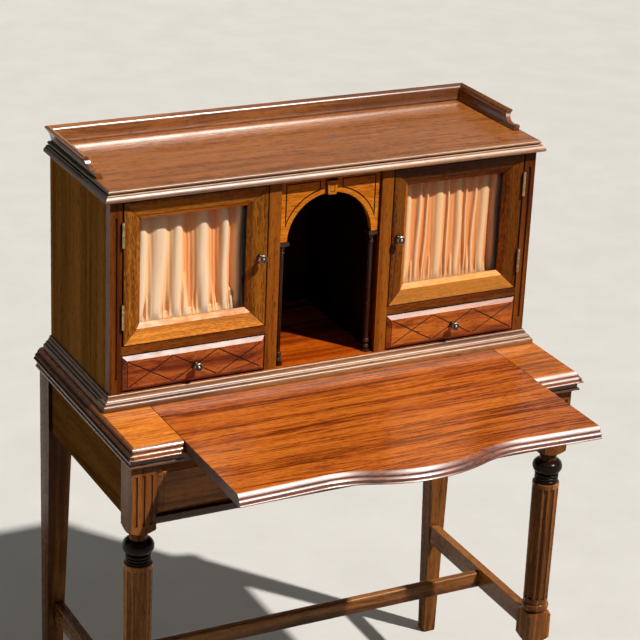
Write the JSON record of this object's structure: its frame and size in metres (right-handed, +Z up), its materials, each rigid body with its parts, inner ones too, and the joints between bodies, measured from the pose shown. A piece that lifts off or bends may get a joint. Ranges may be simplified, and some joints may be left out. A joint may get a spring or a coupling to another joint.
{
  "type": "writing desk",
  "caption": "Small writing desk with a serpentine pull-out slide, a frieze drawer and a raised hutch with curtained glass doors, lattice-fronted drawers and an arched niche.",
  "frame": {"origin": "floor level under the middle of the bounding box, slide drawn out", "axes": "+X to the sitter's right, +Y to the back, +Z up"},
  "size_m": [0.861, 0.6834, 1.1589],
  "materials": {
    "mahogany": "polished",
    "window_glass": "clear",
    "brass": "polished",
    "bronze": "dark patina",
    "satin": "satin weave"
  },
  "bodies": {
    "desk": {"arch_panel": "mahogany", "back_apron": "mahogany", "base_moulding": "mahogany", "corner_stiles": "mahogany", "cornice": "mahogany", "cross_stretcher": "mahogany", "drawer_dividers": "mahogany", "drawer_runners": "mahogany", "fixed_hinge_leaves": "brass", "front_leg_left": "mahogany", "front_leg_right": "mahogany", "front_lower_rail": "mahogany", "front_upper_rail": "mahogany", "gallery_back": "mahogany", "gallery_side_left": "mahogany", "gallery_side_right": "mahogany", "hutch_back": "mahogany", "hutch_floor": "mahogany", "hutch_plinth": "mahogany", "hutch_side_left": "mahogany", "hutch_side_right": "mahogany", "hutch_top": "mahogany", "keystone": "mahogany", "niche_columns": "mahogany", "partitions": "mahogany", "rear_leg_left": "mahogany", "rear_leg_right": "mahogany", "side_apron_left": "mahogany", "side_apron_right": "mahogany", "side_stretcher_left": "mahogany", "side_stretcher_right": "mahogany", "slide_bearers": "mahogany", "top_back_rail": "mahogany", "top_end_left": "mahogany", "top_end_right": "mahogany", "under_mouldings": "mahogany"},
    "slide": {"writing_slide": "mahogany", "slide_stops": "mahogany"},
    "frieze_drawer": {"frieze_drawer_front": "mahogany", "frieze_drawer_box": "mahogany", "frieze_drawer_knobs": "bronze"},
    "small_drawer_left": {"small_drawer_front_left": "mahogany", "small_drawer_box_left": "mahogany", "small_drawer_knob_left": "bronze"},
    "door_left": {"door_frame_left": "mahogany", "door_glass_left": "window_glass", "door_curtain_left": "satin", "door_knob_left": "bronze", "door_hinge_leaves_left": "brass", "curtain_rods_left": "brass"},
    "small_drawer_right": {"small_drawer_front_right": "mahogany", "small_drawer_box_right": "mahogany", "small_drawer_knob_right": "bronze"},
    "door_right": {"door_frame_right": "mahogany", "door_glass_right": "window_glass", "door_curtain_right": "satin", "door_knob_right": "bronze", "door_hinge_leaves_right": "brass", "curtain_rods_right": "brass"}
  },
  "joints": [
    {"name": "writing_slide", "type": "slide", "parent": "desk", "child": "slide", "axis": [0, 1, 0], "range_m": [0, 0.213]},
    {"name": "frieze_drawer_pull", "type": "slide", "parent": "desk", "child": "frieze_drawer", "axis": [0, -1, 0], "range_m": [0, 0.3]},
    {"name": "small_drawer_pull_left", "type": "slide", "parent": "desk", "child": "small_drawer_left", "axis": [0, -1, 0], "range_m": [0, 0.2]},
    {"name": "door_hinge_left", "type": "hinge", "parent": "desk", "child": "door_left", "pos_m": [-0.3776, 0.05375, 0.984], "axis": [0, 0, -1], "range_deg": [0, 170]},
    {"name": "small_drawer_pull_right", "type": "slide", "parent": "desk", "child": "small_drawer_right", "axis": [0, -1, 0], "range_m": [0, 0.2]},
    {"name": "door_hinge_right", "type": "hinge", "parent": "desk", "child": "door_right", "pos_m": [0.3776, 0.05375, 0.984], "axis": [0, 0, 1], "range_deg": [0, 170]}
  ]
}
